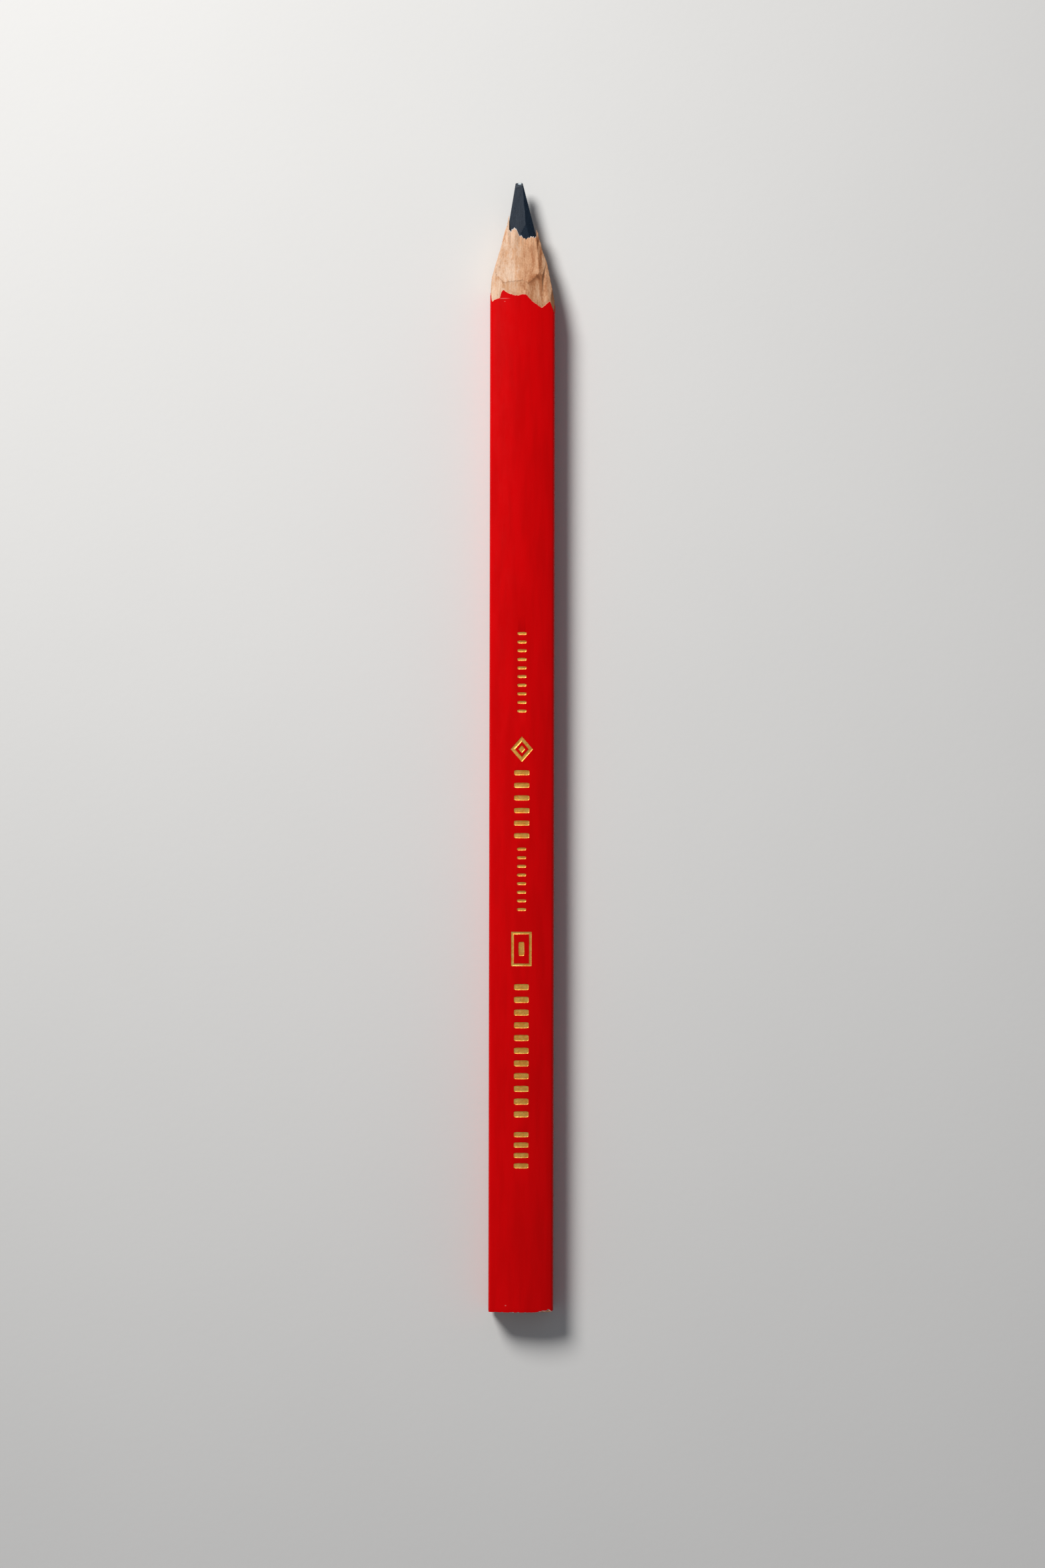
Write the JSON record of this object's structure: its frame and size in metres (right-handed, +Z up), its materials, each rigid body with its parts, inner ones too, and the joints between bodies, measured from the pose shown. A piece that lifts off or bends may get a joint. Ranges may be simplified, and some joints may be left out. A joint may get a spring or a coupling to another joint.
{
  "type": "carpenter pencil",
  "caption": "Knife-sharpened carpenter pencil with a flat graphite core, a barrel-shaped cedar casing, red lacquer and gold foil stamping.",
  "frame": {"origin": "middle of the underside: the centre of the bounding box in X and Y, at the height of the surface the pencil lies on", "axes": "+Y along the pencil from the butt to the point, +Z up through the two wide faces, +X across to the right with the point away from the viewer"},
  "size_m": [0.0102, 0.178, 0.006],
  "materials": {
    "graphite": "burnished dark grey graphite and clay, faint metallic sheen",
    "cedar": "bare knife-cut cedar, fine grain along the pencil",
    "glue": "thin amber-brown glue film",
    "primer": "pale matt undercoat",
    "lacquer": "bright red lacquer, semi-gloss with a fine orange peel",
    "foil": "hot-stamped gold foil, lightly worn"
  },
  "bodies": {
    "root": {"foil_bold_01": "foil", "foil_bold_02": "foil", "foil_bold_03": "foil", "foil_bold_04": "foil", "foil_bold_05": "foil", "foil_bold_06": "foil", "foil_bold_07": "foil", "foil_bold_08": "foil", "foil_bold_09": "foil", "foil_bold_10": "foil", "foil_bold_11": "foil", "foil_fine_lower_01": "foil", "foil_fine_lower_02": "foil", "foil_fine_lower_03": "foil", "foil_fine_lower_04": "foil", "foil_fine_lower_05": "foil", "foil_fine_lower_06": "foil", "foil_fine_lower_07": "foil", "foil_fine_lower_08": "foil", "foil_fine_upper_01": "foil", "foil_fine_upper_02": "foil", "foil_fine_upper_03": "foil", "foil_fine_upper_04": "foil", "foil_fine_upper_05": "foil", "foil_fine_upper_06": "foil", "foil_fine_upper_07": "foil", "foil_fine_upper_08": "foil", "foil_fine_upper_09": "foil", "foil_fine_upper_10": "foil", "foil_frame": "foil", "foil_frame_bar": "foil", "foil_lozenge": "foil", "foil_lozenge_centre": "foil", "foil_medium_01": "foil", "foil_medium_02": "foil", "foil_medium_03": "foil", "foil_medium_04": "foil", "foil_medium_05": "foil", "foil_medium_06": "foil", "foil_short_01": "foil", "foil_short_02": "foil", "foil_short_03": "foil", "foil_short_04": "foil", "glue_line_left": "glue", "glue_line_right": "glue", "graphite_core": "graphite", "lacquer_coat": "lacquer", "lower_slat": "cedar", "primer_coat": "primer", "upper_slat": "cedar"}
  },
  "joints": []
}
